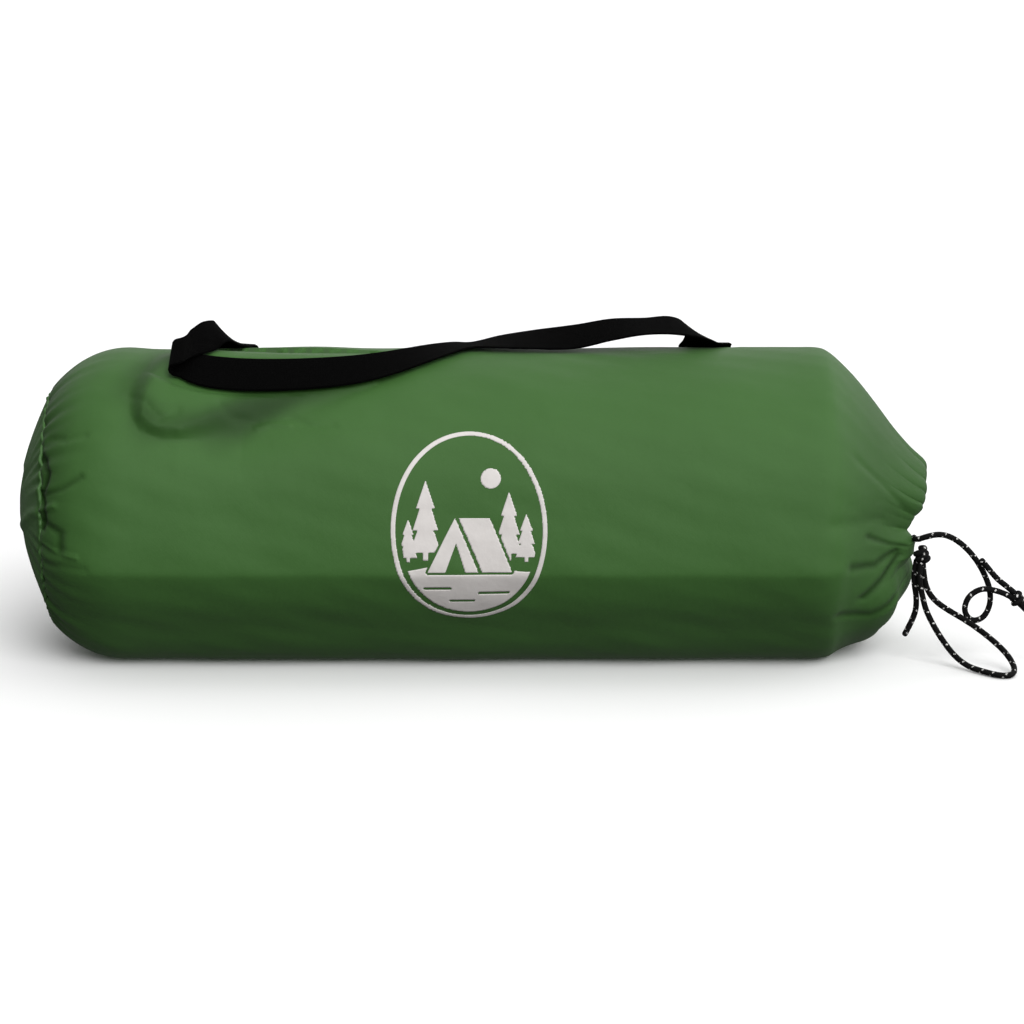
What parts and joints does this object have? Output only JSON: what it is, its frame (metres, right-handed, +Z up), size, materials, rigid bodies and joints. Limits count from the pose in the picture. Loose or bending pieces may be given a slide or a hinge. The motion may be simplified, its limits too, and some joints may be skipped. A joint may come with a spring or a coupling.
{
  "type": "packed tent in a carry bag",
  "caption": "Tent packed in a round drawcord carry bag with a webbing strap, holding the rolled tent, a pole bundle and a peg bag.",
  "frame": {"origin": "middle of the bag's length and width on the plane it lies on, measured without the drawcord's free ends", "axes": "+X along the bag to its drawn mouth, +Y away from the printed side, +Z up"},
  "size_m": [0.7384, 0.2263, 0.237],
  "materials": {
    "bag_cloth": "coated plain-weave polyester, soft sheen",
    "binding_tape": "woven tape",
    "badge_print": "matt screen print on the cloth",
    "webbing": "woven polypropylene webbing",
    "thread": "sewing thread",
    "drawcord": "braided cord with pale flecks",
    "flysheet_cloth": "coated polyester",
    "inner_tent_cloth": "breathable polyester",
    "tie_tape": "woven tape",
    "pole_bag_cloth": "plain-weave polyester",
    "tie_cord": "braided cord",
    "fibreglass": "pultruded fibreglass, satin",
    "ferrule_steel": "zinc-plated",
    "elastic": "covered elastic cord",
    "peg_steel": "zinc-plated wire"
  },
  "bodies": {
    "carry_bag": {"bag_body": "bag_cloth", "bag_end_panel": "bag_cloth", "end_seam_binding": "binding_tape", "lengthwise_seam": "bag_cloth", "printed_badge": "badge_print", "strap_sewn_end_left": "webbing", "strap_sewn_end_right": "webbing", "strap_bar_tacks": "thread", "mouth_gather": "bag_cloth", "drawcord_hem": "bag_cloth", "drawcord_in_hem": "drawcord", "drawcord_sprung_end": "drawcord", "drawcord_bow_loop": "drawcord", "drawcord_short_tail": "drawcord", "drawcord_turned_back_end": "drawcord", "exit_knot": "drawcord", "end_knot": "drawcord"},
    "strap": {"carry_strap": "webbing"},
    "tent_roll": {"flysheet_roll": "flysheet_cloth", "inner_tent_roll": "inner_tent_cloth", "roll_tie_left": "tie_tape", "roll_tie_right": "tie_tape"},
    "pole_bundle": {"pole_bag": "pole_bag_cloth", "pole_bag_tie": "tie_cord", "pole_sections": "fibreglass", "pole_ferrules": "ferrule_steel", "shock_cord": "elastic", "pole_end_tips": "ferrule_steel"},
    "peg_kit": {"peg_bag": "pole_bag_cloth", "peg_bag_tie": "tie_cord", "pegs": "peg_steel"}
  },
  "joints": [
    {"name": "strap_swing", "type": "hinge", "parent": "carry_bag", "child": "strap", "pos_m": [0, 0.028, 0.2182], "axis": [-1, 0, 0], "range_deg": [0, 95]},
    {"name": "tent_slide", "type": "slide", "parent": "carry_bag", "child": "tent_roll", "axis": [1, 0, 0], "range_m": [0, 0.7], "deforming": ["mouth_gather", "drawcord_hem", "drawcord_in_hem", "drawcord_sprung_end", "drawcord_bow_loop", "drawcord_short_tail", "drawcord_turned_back_end", "exit_knot", "end_knot"]},
    {"name": "pole_slide", "type": "slide", "parent": "tent_roll", "child": "pole_bundle", "axis": [1, 0, 0], "range_m": [0, 0.4]},
    {"name": "peg_slide", "type": "slide", "parent": "tent_roll", "child": "peg_kit", "axis": [1, 0, 0], "range_m": [0, 0.12]}
  ]
}
